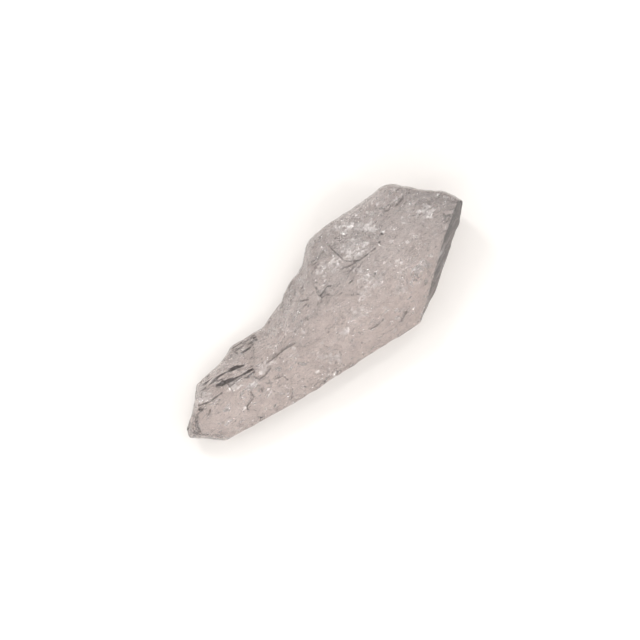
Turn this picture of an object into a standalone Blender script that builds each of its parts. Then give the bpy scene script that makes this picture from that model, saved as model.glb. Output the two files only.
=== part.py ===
"""A rough morganite crystal: one broken splinter of a hexagonal beryl prism, lying on a fracture face.

The crystal's c axis runs along X. Two prism faces and the edge between them are left whole along
the -Y side; every other side is broken. The head, at +X, is the thick end.
"""

import math

import bmesh
import bpy
from mathutils import Matrix, Vector, noise

# Units: the design sizes below are in millimetres, and the meshes are in metres
MM = 0.001

# Triangles kept on the finished stone
TRIANGLE_BUDGET = 9400
# Vertices closer than this are one
WELD = 0.004

# Hexagonal prism that the splinter comes from
PRISM_APOTHEM = 9.0
PRISM_LENGTH = 44.0
PRISM_AXIS_Z = 3.0
# The c axis stands this far off the stone's long axis, in plan
PRISM_YAW = math.radians(1.7)
# A prism face next to the wall stands this far off it, in degrees
PRISM_TURN = 60.0

# Prism faces that are left whole, and the fracture that the stone lies on
WALL_Y = -6.93
SHOULDER_Z = 4.2
LOWER_EDGE_Z = 0.45
REST_Z = 0.17

# Corners of the plan outline that the cleaved sides pass through
HEAD_BACK = (11.95, 7.14)
HEAD_BACK_LEFT = (3.68, 6.40)
HEAD_END = (16.88, 3.11)
HEAD_TIP = (17.75, 1.65)
HEAD_FRONT_UPPER = (16.20, -0.33)
HEAD_FRONT_LOWER = (11.10, -4.73)
WALL_HEAD_END = (8.16, -6.69)
WALL_BEND = (-7.17, -7.14)
WALL_TAIL_END = (-14.68, -6.81)
TAIL_TIP = (-17.75, -4.73)
TAIL_BACK = (-17.54, -3.80)

# Heights at which the cleaved sides are widest
END_WIDEST_Z = 6.8
CORNER_WIDEST_Z = 7.1
BACK_WIDEST_Z = 6.9
TAIL_WIDEST_Z = 2.2
TAIL_BACK_WIDEST_Z = 2.5
# The head's front has a sloping strip along its upper edge: height of the strip's foot at each corner
STRIP_FOOT_WALL_Z = 4.15
STRIP_FOOT_LOWER_Z = 4.35
STRIP_FOOT_UPPER_Z = 6.7
STRIP_FOOT_TIP_Z = 7.6
# Lean of the strip's normal, and of the side below it, in degrees
STRIP_LEAN = 28.0
FRONT_LEAN = -4.0
FRONT_WIDEST_Z = 5.0

# The broken back flank in plan, from the tail's end to the head
FLANK_OUTLINE = (
    (-19.5, -5.60),
    (-17.54, -3.80),
    (-16.20, -2.74),
    (-14.40, -0.50),
    (-11.08, 0.13),
    (-9.35, 1.07),
    (-5.68, 0.96),
    (-2.60, 2.37),
    (-1.18, 3.38),
    (-0.03, 3.74),
    (0.92, 4.34),
    (2.19, 5.67),
    (3.68, 6.45),
    (12.5, 7.50),
)
# Its widest line climbs from the tail to the body
FLANK_WIDEST_TAIL_Z = 2.4
FLANK_WIDEST_BODY_Z = 5.1
# How far it leans in per millimetre of rise: on the tail, amidships, at the head, and underneath
FLANK_LEAN_TAIL = 0.34
FLANK_LEAN_MIDDLE = 0.84
FLANK_LEAN_HEAD = 0.39
FLANK_UNDERCUT = 0.20

# Crest of the top: where it runs in plan, and how high it stands
CREST = (
    (-19.0, -0.6, 5.1),
    (-14.6, -0.9, 5.4),
    (-10.7, -2.0, 5.4),
    (-9.0, -2.4, 5.5),
    (-5.0, -1.8, 6.2),
    (0.0, 0.2, 7.0),
    (5.0, 2.2, 7.9),
    (12.0, 4.6, 8.9),
    (19.0, 5.5, 9.3),
)
# Fall of the body per millimetre away from the crest, to the front and to the back
FRONT_FALL_TAIL = 0.33
FRONT_FALL_HEAD = 0.24
BACK_FALL_TAIL = 0.36
BACK_FALL_HEAD = 0.10
BACK_FALL_GROWTH = 0.03

# Scarp where the tail's steps end against the body
SCARP_FOOT = (-9.06, -2.84)
SCARP_HEAD = (-7.60, -0.44)

# Smooth face of the tail: a point on it, and how it climbs along X and Y
TAIL_FACE_POINT = (-9.0, -2.4, 5.4)
TAIL_FACE_CLIMB = (0.087, 0.397)
# The strip of it that is sunk: the line it starts from, its depth, and its two ends
TAIL_STRIP_Y = -2.5
TAIL_STRIP_DEPTH = 0.28
TAIL_STRIP_END = -16.7
TAIL_STRIP_START = -12.2
# Steps behind the tail's crest: steepness and width of each
TAIL_STEPS = ((1.5, 1.65), (0.55, 1.0), (1.9, 20.0))

# Layers of relief: height, length along and across the grain, seed
TAIL_FLUTES = (0.10, 2.6, 0.34, 7.0)
STRAY_GRAIN = (1.0, 2.2, 2.2, 6.0)
SWELL_GRAIN = (0.22, 4.0, 2.4, 1.5)
LUMP_GRAIN = (0.11, 1.7, 1.15, 4.0)
FLAKE_GRAIN = (0.12, 1.6, 0.95, 9.0)
RAGGED_EDGE = (1.6, 1.8, 1.3, 8.0)
FLANK_RIPPLE = (0.16, 1.3, 1.1, 3.0)

# Ledges that the broken top is drawn towards: height of one, and how strongly
LEDGE_STEP = 0.6
LEDGE_PULL = 0.3

# Scarps across the top: foot line from start to end, and the height of the drop on its right side
SCARPS = (
    ((10.3, 4.5), (13.2, 4.8), 0.32),
    ((11.3, 3.4), (13.9, 2.8), -0.28),
    ((4.75, 2.45), (8.7, 2.25), 0.45),
    ((4.75, 2.45), (4.0, 4.8), -0.30),
    ((5.0, 1.3), (7.6, 1.0), 0.28),
    ((-2.9, -3.2), (2.6, -2.2), 0.26),
    ((8.6, 0.6), (13.6, 0.9), -0.24),
)
SCARP_WIDTH = 0.16
SCARP_REACH = 1.3

# Shell chips in the top: place, reach along and across, depth, turn in degrees, rise across
CHIPS = (
    ((6.4, 3.6), (2.7, 1.4), 0.62, -4.0, 0.42),
    ((6.0, 0.8), (1.7, 1.1), 0.52, 24.0, -0.28),
    ((2.6, 3.0), (3.2, 1.0), 0.58, -16.0, -0.20),
    ((10.4, -0.75), (0.8, 0.6), 0.40, 24.0, 0.0),
    ((-1.6, -5.2), (1.7, 1.0), 0.40, 20.0, -0.14),
    ((-3.9, -6.2), (1.5, 0.9), 0.30, 6.0, 0.10),
    ((1.0, -3.1), (1.3, 0.8), 0.36, 30.0, -0.15),
    ((6.0, -1.8), (1.4, 1.1), 0.30, 10.0, 0.12),
    ((-6.0, -2.0), (1.5, 0.5), 0.34, 8.0, 0.0),
    ((10.2, 4.0), (1.7, 0.9), 0.30, 6.0, 0.16),
    ((14.0, 4.2), (1.5, 0.8), 0.26, 20.0, -0.10),
    ((-2.9, -0.2), (1.6, 0.9), 0.34, 35.0, 0.20),
)
# How far a chip's rim strays from an ellipse
CHIP_STRAY = 0.55
# Rings in a chip's bowl: their height, and how close they stand
CHIP_RING_HEIGHT = 0.03
CHIP_RING_PITCH = 11.0

# Large chips in the sides and the underside: centre, radii, turn in plan in degrees
SIDE_CHIPS = {
    'head_end_scoop': ((17.1, 6.7, 6.5), (4.4, 3.2, 9.0), -40.0),
    'under_scoop': ((7.6, 4.0, -4.3), (5.4, 3.0, 5.2), 12.0),
    'under_front_scoop': ((10.6, -1.4, -2.4), (3.0, 1.9, 3.2), 34.0),
    'under_waist_scoop': ((-1.6, 0.6, -2.2), (3.4, 1.4, 3.1), 24.0),
    'under_tail_scoop': ((-9.5, -3.4, -3.1), (4.4, 2.2, 3.8), 4.0),
}

# Side faces that are rippled: plan line, height, lean of the normal in degrees, depth
SIDE_FRACTURES = {
    'head_front': (HEAD_FRONT_LOWER, HEAD_FRONT_UPPER, FRONT_WIDEST_Z, FRONT_LEAN, 0.30),
    'head_front_low': (WALL_HEAD_END, HEAD_FRONT_LOWER, FRONT_WIDEST_Z, FRONT_LEAN, 0.14),
    'head_end': (HEAD_END, HEAD_BACK, CORNER_WIDEST_Z, -7.0, 0.34),
    'head_end_low': (HEAD_TIP, HEAD_END, END_WIDEST_Z, -9.0, 0.24),
    'head_back_low': (HEAD_BACK, HEAD_BACK_LEFT, BACK_WIDEST_Z, -9.0, 0.36),
}
# Ripples of a side fracture along and across, and its slower swell
SIDE_RIPPLE = (0.55, 3.6, 0.8)
SIDE_SWELL = (1.0, 4.4, 3.2)

# Cutters of the fracture surfaces: size of a grid cell, then middle and size of the whole grid
TOP_CELL = 0.21
TOP_GRID = ((0.0, 0.5), (38.0, 18.0))
FLANK_CELL = 0.34
FLANK_GRID = ((-3.5, 0.0), (34.0, 13.6))
SIDE_CELL = 0.42
SIDE_OVERHANG = 8.0
SIDE_HEIGHT = 18.0
# How far each kind of cutter reaches away from the stone
TOP_REACH = 12.0
FLANK_REACH = 14.0
SIDE_REACH = 3.0


def metres(x, y, z):
    """A point given in millimetres, as a vector in metres."""
    return Vector((x, y, z)) * MM


def between(value, low, high):
    """Smooth ramp from 0 at low to 1 at high."""
    t = min(max((value - low) / (high - low), 0.0), 1.0)
    return t * t * (3.0 - 2.0 * t)


def blend(first, second, share):
    """Value that is share of the way from first to second."""
    return first + (second - first) * share


def layer(relief, u, v):
    """Height of one layer of relief at (u, v)."""
    height, along, across, seed = relief
    return height * noise.noise(Vector((u / along, v / across, seed)))


def follow(points, x):
    """The other values of a line of points sorted by their first value, read at x."""
    for first, second in zip(points, points[1:]):
        if x <= second[0]:
            break
    share = min(max((x - first[0]) / (second[0] - first[0]), 0.0), 1.0)
    return [blend(a, b, share) for a, b in zip(first[1:], second[1:])]


def side_plane(start, end, height, lean, climb=0.0):
    """Plane through the plan line start-end, which climbs from the given height.

    lean raises the plane's normal, in degrees.
    """
    along = Vector((end[0] - start[0], end[1] - start[1], climb)).normalized()
    outward = along.cross(Vector((0.0, 0.0, 1.0))).normalized()
    upward = outward.cross(along)
    lean = math.radians(lean)
    normal = outward * math.cos(lean) + upward * math.sin(lean)
    return metres(start[0], start[1], height), normal


def prism_plane(y, z, angle):
    """Prism face through (y, z), with its normal turned by angle from -Y up to +Z, in degrees."""
    angle = math.radians(angle)
    normal = Vector((0.0, -math.cos(angle), math.sin(angle)))
    return metres(0.0, y, z), Matrix.Rotation(PRISM_YAW, 3, 'Z') @ normal


def facet_planes():
    """Flat faces of the stone, each as a point on it and its outward normal."""
    prism_faces = [
        prism_plane(WALL_Y, SHOULDER_Z, PRISM_TURN),
        prism_plane(WALL_Y, LOWER_EDGE_Z, -PRISM_TURN),
        side_plane(WALL_TAIL_END, WALL_BEND, LOWER_EDGE_Z, 0.0),
    ]
    climb_x, climb_y = TAIL_FACE_CLIMB
    tail_faces = [
        (metres(*TAIL_FACE_POINT), Vector((-climb_x, -climb_y, 1.0)).normalized()),
        side_plane(TAIL_TIP, WALL_TAIL_END, TAIL_WIDEST_Z, 14.0),
        side_plane(TAIL_TIP, WALL_TAIL_END, TAIL_WIDEST_Z, -24.0),
        side_plane(TAIL_BACK, TAIL_TIP, TAIL_BACK_WIDEST_Z, 22.0),
        side_plane(TAIL_BACK, TAIL_TIP, TAIL_BACK_WIDEST_Z, -30.0),
    ]
    strip_corners = [
        (WALL_HEAD_END, STRIP_FOOT_WALL_Z),
        (HEAD_FRONT_LOWER, STRIP_FOOT_LOWER_Z),
        (HEAD_FRONT_UPPER, STRIP_FOOT_UPPER_Z),
        (HEAD_TIP, STRIP_FOOT_TIP_Z),
    ]
    front_faces = []
    for (start, foot), (end, next_foot) in zip(strip_corners, strip_corners[1:]):
        front_faces.append(side_plane(start, end, foot, STRIP_LEAN, next_foot - foot))
        front_faces.append(side_plane(start, end, FRONT_WIDEST_Z, FRONT_LEAN))
    head_faces = [
        side_plane(HEAD_TIP, HEAD_END, END_WIDEST_Z, 6.0),
        side_plane(HEAD_TIP, HEAD_END, END_WIDEST_Z, -9.0),
        side_plane(HEAD_END, HEAD_BACK, CORNER_WIDEST_Z, 9.0),
        side_plane(HEAD_END, HEAD_BACK, CORNER_WIDEST_Z, -7.0),
        side_plane(HEAD_BACK, HEAD_BACK_LEFT, BACK_WIDEST_Z, 32.0),
        side_plane(HEAD_BACK, HEAD_BACK_LEFT, BACK_WIDEST_Z, -9.0),
    ]
    rest_face = [(metres(0.0, 0.0, REST_Z), Vector((0.0, 0.0, -1.0)))]
    return prism_faces + tail_faces + front_faces + head_faces + rest_face


def tail_face_height(x, y):
    """Height of the tail's smooth face over (x, y)."""
    point_x, point_y, point_z = TAIL_FACE_POINT
    return point_z + TAIL_FACE_CLIMB[0] * (x - point_x) + TAIL_FACE_CLIMB[1] * (y - point_y)


def tail_drop(x, back):
    """Depth of the tail's stepped back side below its smooth face, at a distance back from the crest."""
    if back < 0.0:
        return 1.3 * back
    drop = layer(TAIL_FLUTES, x, back) * between(back, 0.1, 0.5)
    for steepness, width in TAIL_STEPS:
        drop += steepness * min(max(back, 0.0), width)
        back -= width
    return drop


def tail_height(x, y, back):
    """Height of the tail: its smooth face is left whole but for a sunk strip along the crest."""
    face = tail_face_height(x, y)
    strip = between(y, TAIL_STRIP_Y - 0.12, TAIL_STRIP_Y + 0.12)
    strip *= between(x, TAIL_STRIP_END - 0.75, TAIL_STRIP_END + 0.75)
    strip *= 1.0 - between(x, TAIL_STRIP_START - 0.6, TAIL_STRIP_START + 0.6)
    clearance = 0.6
    sunk = blend(face + clearance, face - TAIL_STRIP_DEPTH, strip)
    return min(face - tail_drop(x, back), sunk)


def body_plain_height(x, y):
    """Height of the body's face before any relief."""
    crest_y, z = follow(CREST, x)
    back = y - crest_y
    if back < 0.0:
        z += blend(FRONT_FALL_TAIL, FRONT_FALL_HEAD, between(x, 6.0, 12.0)) * back
    else:
        z -= blend(BACK_FALL_TAIL, BACK_FALL_HEAD, between(x, -4.0, 5.0)) * back
        z -= BACK_FALL_GROWTH * back * back
    ragged = x + layer(RAGGED_EDGE, x, y)
    apron = between(ragged, -7.6, -6.4) * (1.0 - between(ragged, -1.4, 0.2))
    return blend(z, min(z, tail_face_height(x, y) - 0.08), apron)


def fracture_grain(x, y):
    """Lumps and flakes of the fracture, drawn out along the c axis."""
    lumps = layer(LUMP_GRAIN, x, y + 0.5 * layer(STRAY_GRAIN, x, y))
    flakes = abs(layer(FLAKE_GRAIN, x - y, y + 0.35 * x))
    return layer(SWELL_GRAIN, x, y) + lumps - flakes


def scarp_relief(x, y):
    """Height that the scarps add at (x, y): a sharp drop that dies out away from its foot line."""
    relief = 0.0
    for start, end, drop in SCARPS:
        along = Vector((end[0] - start[0], end[1] - start[1]))
        length = along.length
        along /= length
        run = (x - start[0]) * along.x + (y - start[1]) * along.y
        side = (x - start[0]) * along.y - (y - start[1]) * along.x
        ends = between(run, -0.4, 0.5) * (1.0 - between(run, length - 0.5, length + 0.4))
        step = between(side, -SCARP_WIDTH, SCARP_WIDTH) - 0.5
        fade = math.exp(-abs(side) / SCARP_REACH)
        relief -= drop * step * fade * ends
    return relief


def ledges(z):
    """Height z drawn towards ledges one step apart."""
    level = math.floor(z / LEDGE_STEP)
    ledge = LEDGE_STEP * (level + between(z / LEDGE_STEP - level, 0.2, 0.9))
    return blend(z, ledge, LEDGE_PULL)


def shell_chips(x, y, plain, z):
    """Height z lowered to the bowl of each shell chip, which is sunk below the plain face."""
    stray = noise.noise_vector(Vector((x / 1.5, y / 1.1, 2.0))) * CHIP_STRAY
    for place, reach, depth, turn, rise in CHIPS:
        turn = math.radians(turn)
        dx = x - place[0] + stray.x
        dy = y - place[1] + stray.y
        along = (dx * math.cos(turn) + dy * math.sin(turn)) / reach[0]
        across = (dy * math.cos(turn) - dx * math.sin(turn)) / reach[1]
        distance = math.hypot(along, across)
        if distance < 2.0:
            rings = CHIP_RING_HEIGHT * math.sin(CHIP_RING_PITCH * distance)
            bowl = depth * (distance ** 1.6 - 1.0) + rise * across
            z = min(z, plain + bowl + rings)
    return z


def body_height(x, y):
    """Height of the body's broken face."""
    plain = body_plain_height(x, y)
    broken = ledges(plain + fracture_grain(x, y) + scarp_relief(x, y))
    return shell_chips(x, y, plain, broken)


def top_height(x, y):
    """Height of the broken top over (x, y)."""
    crest_y = follow(CREST, x)[0]
    scarp = Vector((SCARP_HEAD[0] - SCARP_FOOT[0], SCARP_HEAD[1] - SCARP_FOOT[1])).normalized()
    past_scarp = (x - SCARP_FOOT[0]) * scarp.y - (y - SCARP_FOOT[1]) * scarp.x
    share = between(past_scarp, -0.12, 0.18)
    return blend(tail_height(x, y, y - crest_y), body_height(x, y), share)


def flank_point(x, rise):
    """Point of the broken back flank at x, at a rise above its widest line."""
    (edge,) = follow(FLANK_OUTLINE, x)
    widest = blend(FLANK_WIDEST_TAIL_Z, FLANK_WIDEST_BODY_Z, between(x, -7.0, 4.0))
    lean = blend(FLANK_LEAN_TAIL, FLANK_LEAN_MIDDLE, between(x, -9.0, -5.0))
    lean = blend(lean, FLANK_LEAN_HEAD, between(x, -1.0, 4.0))
    ripple = layer(FLANK_RIPPLE, x, rise) * between(abs(rise), 0.0, 0.8)
    y = edge - lean * max(rise, 0.0) + FLANK_UNDERCUT * min(rise, 0.0) + ripple
    return x, y, widest + rise


def new_object(name, mesh_data, collection):
    """Put a bmesh in a new object of the collection."""
    mesh = bpy.data.meshes.new(name)
    mesh_data.to_mesh(mesh)
    mesh_data.free()
    obj = bpy.data.objects.new(name, mesh)
    collection.objects.link(obj)
    return obj


def as_cutter(obj):
    """Mark an object as a cutter: drawn as wire and left out of renders."""
    obj.hide_render = True
    obj.display_type = 'WIRE'
    return obj


def relief_cutter(name, collection, grid, cell, place, thrust):
    """Closed slab with one face shaped by place(u, v), the other pushed off along thrust."""
    centre, size = grid
    steps = [max(1, round(length / cell)) for length in size]
    slab = bmesh.new()
    bmesh.ops.create_grid(slab, x_segments=steps[0], y_segments=steps[1], size=0.5)
    for vert in slab.verts:
        u = centre[0] + vert.co.x * size[0]
        v = centre[1] + vert.co.y * size[1]
        vert.co = metres(*place(u, v))
    pushed = bmesh.ops.extrude_face_region(slab, geom=slab.faces[:])
    moved = [item for item in pushed['geom'] if isinstance(item, bmesh.types.BMVert)]
    bmesh.ops.translate(slab, verts=moved, vec=metres(*thrust))
    bmesh.ops.recalc_face_normals(slab, faces=slab.faces[:])
    return as_cutter(new_object(name, slab, collection))


def scoop_cutter(name, collection, centre, radii, turn):
    """Ellipsoid for a large shell-shaped chip, turned in plan by so many degrees."""
    ball = bmesh.new()
    bmesh.ops.create_uvsphere(ball, u_segments=28, v_segments=18, radius=1.0)
    shape = Matrix.Translation(metres(*centre)) @ Matrix.Rotation(math.radians(turn), 4, 'Z')
    ball.transform(shape @ Matrix.Diagonal((*metres(*radii), 1.0)))
    return as_cutter(new_object(name, ball, collection))


def side_fracture(name, collection, start, end, height, lean, depth, seed):
    """Cutter that breaks a flat side face into long ripples and chips, at most depth deep."""
    origin, normal = side_plane(start, end, height, lean)
    along = Vector((end[0] - start[0], end[1] - start[1], 0.0))
    length = along.length
    along.normalize()
    up = normal.cross(along)
    up *= math.copysign(1.0, up.z)

    def place(u, w):
        relief = layer((*SIDE_RIPPLE, seed), u, w) + layer((*SIDE_SWELL, seed + 5.0), u, w)
        inward = depth * max(-0.15, 0.15 + relief)
        return (origin / MM + along * u + up * w - normal * inward)[:]

    grid = ((length / 2.0, 0.0), (length + SIDE_OVERHANG, SIDE_HEIGHT))
    return relief_cutter(name, collection, grid, SIDE_CELL, place, normal * SIDE_REACH)


def fracture_cutters(collection):
    """Cutters for the broken top, the broken back flank, the large chips and the rippled sides."""
    cutters = [
        relief_cutter(
            'top_fracture', collection, TOP_GRID, TOP_CELL,
            lambda x, y: (x, y, top_height(x, y)), (0.0, 0.0, TOP_REACH),
        ),
        relief_cutter(
            'flank_fracture', collection, FLANK_GRID, FLANK_CELL, flank_point, (0.0, FLANK_REACH, 0.0),
        ),
    ]
    for name, chip in SIDE_CHIPS.items():
        cutters.append(scoop_cutter(name, collection, *chip))
    for place, (name, face) in enumerate(SIDE_FRACTURES.items()):
        seed = 11.0 + 3.0 * place
        cutters.append(side_fracture(name, collection, *face, seed))
    return cutters


def hexagonal_blank(collection):
    """Long hexagonal prism along the c axis, with its wall on the -Y side in place."""
    corner_radius = PRISM_APOTHEM * MM / math.cos(math.pi / 6.0)
    prism = bmesh.new()
    bmesh.ops.create_cone(
        prism, cap_ends=True, segments=6,
        radius1=corner_radius, radius2=corner_radius, depth=PRISM_LENGTH * MM,
    )
    lay_down = Matrix.Rotation(math.pi / 2.0, 4, 'Y') @ Matrix.Rotation(math.pi / 6.0, 4, 'Z')
    swing = Matrix.Rotation(PRISM_YAW, 4, 'Z')
    shift = Matrix.Translation(metres(0.0, WALL_Y + PRISM_APOTHEM, PRISM_AXIS_Z))
    prism.transform(swing @ shift @ lay_down)
    return new_object('crystal', prism, collection)


def cleave(obj, planes):
    """Cut the object flat along each plane, and keep the side that the normal points away from."""
    solid = bmesh.new()
    solid.from_mesh(obj.data)
    for point, normal in planes:
        cut = bmesh.ops.bisect_plane(
            solid, geom=solid.verts[:] + solid.edges[:] + solid.faces[:],
            plane_co=point, plane_no=normal, clear_outer=True, dist=1e-7,
        )
        rim = [item for item in cut['geom_cut'] if isinstance(item, bmesh.types.BMEdge)]
        bmesh.ops.contextual_create(solid, geom=rim)
    bmesh.ops.recalc_face_normals(solid, faces=solid.faces[:])
    solid.to_mesh(obj.data)
    solid.free()


def evaluated_mesh(obj):
    """The object's mesh with its modifiers applied."""
    return bpy.data.meshes.new_from_object(obj.evaluated_get(bpy.context.evaluated_depsgraph_get()))


def carve(obj, cutters):
    """Take each cutter away from the object, in order."""
    for cutter in cutters:
        cut = obj.modifiers.new(cutter.name, 'BOOLEAN')
        cut.operation = 'DIFFERENCE'
        cut.solver = 'EXACT'
        cut.object = cutter
    carved = evaluated_mesh(obj)
    obj.modifiers.clear()
    obj.data = carved


def thin_out(obj):
    """Weld slivers and bring the stone to its triangle budget."""
    solid = bmesh.new()
    solid.from_mesh(obj.data)
    bmesh.ops.triangulate(solid, faces=solid.faces[:])
    bmesh.ops.remove_doubles(solid, verts=solid.verts[:], dist=WELD * MM)
    bmesh.ops.dissolve_degenerate(solid, edges=solid.edges[:], dist=WELD * MM)
    bmesh.ops.triangulate(solid, faces=solid.faces[:])
    solid.to_mesh(obj.data)
    solid.free()
    thin = obj.modifiers.new('thin_out', 'DECIMATE')
    thin.ratio = min(1.0, TRIANGLE_BUDGET / len(obj.data.polygons))
    obj.data = evaluated_mesh(obj)
    obj.modifiers.clear()


def centre_on_base(obj):
    """Move the mesh so that the origin is at the middle of its box, at the bottom."""
    corners = [[vert.co[axis] for vert in obj.data.vertices] for axis in range(3)]
    low = [min(values) for values in corners]
    high = [max(values) for values in corners]
    obj.data.transform(Matrix.Translation((
        -(low[0] + high[0]) / 2.0,
        -(low[1] + high[1]) / 2.0,
        -low[2],
    )))


def morganite():
    """Pale pinkish-grey clear beryl."""
    material = bpy.data.materials.new('morganite')
    material.use_nodes = True
    shader = material.node_tree.nodes['Principled BSDF']
    shader.inputs['Base Color'].default_value = (0.79, 0.68, 0.66, 1.0)
    shader.inputs['Roughness'].default_value = 0.18
    shader.inputs['Metallic'].default_value = 0.0
    shader.inputs['IOR'].default_value = 1.58
    shader.inputs['Transmission Weight'].default_value = 1.0
    return material


def new_collection(name):
    """Collection linked to the scene."""
    collection = bpy.data.collections.new(name)
    bpy.context.scene.collection.children.link(collection)
    return collection


def main():
    """Build the stone."""
    for obj in list(bpy.data.objects):
        bpy.data.objects.remove(obj)
    stone = new_collection('morganite_crystal')
    tools = new_collection('cutters')
    crystal = hexagonal_blank(stone)
    cleave(crystal, facet_planes())
    carve(crystal, fracture_cutters(tools))
    thin_out(crystal)
    centre_on_base(crystal)
    crystal.data.materials.clear()
    crystal.data.materials.append(morganite())


main()
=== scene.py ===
"""Looks of the rough morganite crystal: its broken and grown faces, its inner flakes and the studio.

Sizes in the classes are in millimetres unless a comment says otherwise, and the meshes are in metres.
The stone lies along X with its thick head at +X and its smooth prism faces along -Y.
"""

from __future__ import annotations

import logging
import math
from dataclasses import dataclass, field
from enum import Enum
from typing import Any

import bmesh
import bpy
from mathutils import Matrix, Vector

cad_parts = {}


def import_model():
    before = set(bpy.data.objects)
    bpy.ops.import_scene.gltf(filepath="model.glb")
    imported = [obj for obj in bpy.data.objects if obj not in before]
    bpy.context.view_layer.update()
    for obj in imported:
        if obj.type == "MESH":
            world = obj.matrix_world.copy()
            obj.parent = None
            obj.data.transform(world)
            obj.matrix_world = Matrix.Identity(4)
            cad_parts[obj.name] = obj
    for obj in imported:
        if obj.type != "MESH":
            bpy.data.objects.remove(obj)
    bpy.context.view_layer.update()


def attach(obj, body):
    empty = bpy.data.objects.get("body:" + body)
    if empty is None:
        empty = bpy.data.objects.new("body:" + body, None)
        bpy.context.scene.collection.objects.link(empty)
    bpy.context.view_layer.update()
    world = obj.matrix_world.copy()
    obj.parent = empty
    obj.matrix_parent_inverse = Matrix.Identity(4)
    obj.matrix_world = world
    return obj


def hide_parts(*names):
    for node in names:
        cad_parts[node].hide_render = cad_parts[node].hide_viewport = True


LOG = logging.getLogger("morganite")
MM = 0.001
# Distance that stands for "no crack near", in millimetres
FAR = 9.0
Point = tuple[float, float]
Colour = tuple[float, float, float]


class Wire:
    """A node's output that can stand in a Python expression."""

    def __init__(self, sketch: Sketch, socket: bpy.types.NodeSocket) -> None:
        """Keep the socket and the sketch that it belongs to."""
        self.sketch = sketch
        self.socket = socket

    def __add__(self, other: Wire | float) -> Wire:
        """This value plus another."""
        return self.sketch.maths("ADD", self, other)

    def __radd__(self, other: float) -> Wire:
        """A number plus this value."""
        return self.sketch.maths("ADD", other, self)

    def __sub__(self, other: Wire | float) -> Wire:
        """This value minus another."""
        return self.sketch.maths("SUBTRACT", self, other)

    def __rsub__(self, other: float) -> Wire:
        """A number minus this value."""
        return self.sketch.maths("SUBTRACT", other, self)

    def __mul__(self, other: Wire | float) -> Wire:
        """This value times another."""
        return self.sketch.maths("MULTIPLY", self, other)

    def __rmul__(self, other: float) -> Wire:
        """A number times this value."""
        return self.sketch.maths("MULTIPLY", other, self)

    def __truediv__(self, other: Wire | float) -> Wire:
        """This value divided by another."""
        return self.sketch.maths("DIVIDE", self, other)

    def __pow__(self, other: Wire | float) -> Wire:
        """This value to a power."""
        return self.sketch.maths("POWER", self, other)

    def __abs__(self) -> Wire:
        """This value without its sign."""
        return self.sketch.maths("ABSOLUTE", self)

    def least(self, other: Wire | float) -> Wire:
        """The lower of this value and another."""
        return self.sketch.maths("MINIMUM", self, other)

    def most(self, other: Wire | float) -> Wire:
        """The higher of this value and another."""
        return self.sketch.maths("MAXIMUM", self, other)

    def between(self, low: float, high: float) -> Wire:
        """Smooth ramp from 0 where this value is low to 1 where it is high.

        Args:
            low: Value at which the ramp starts.
            high: Value at which the ramp ends; it may be the lower of the two.

        Returns:
            The ramp.
        """
        flip = low > high
        ramp = self.sketch.node(
            "ShaderNodeMapRange", {"interpolation_type": "SMOOTHSTEP"},
            {0: self, 1: min(low, high), 2: max(low, high)},
        )
        return 1.0 - ramp if flip else ramp


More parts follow.
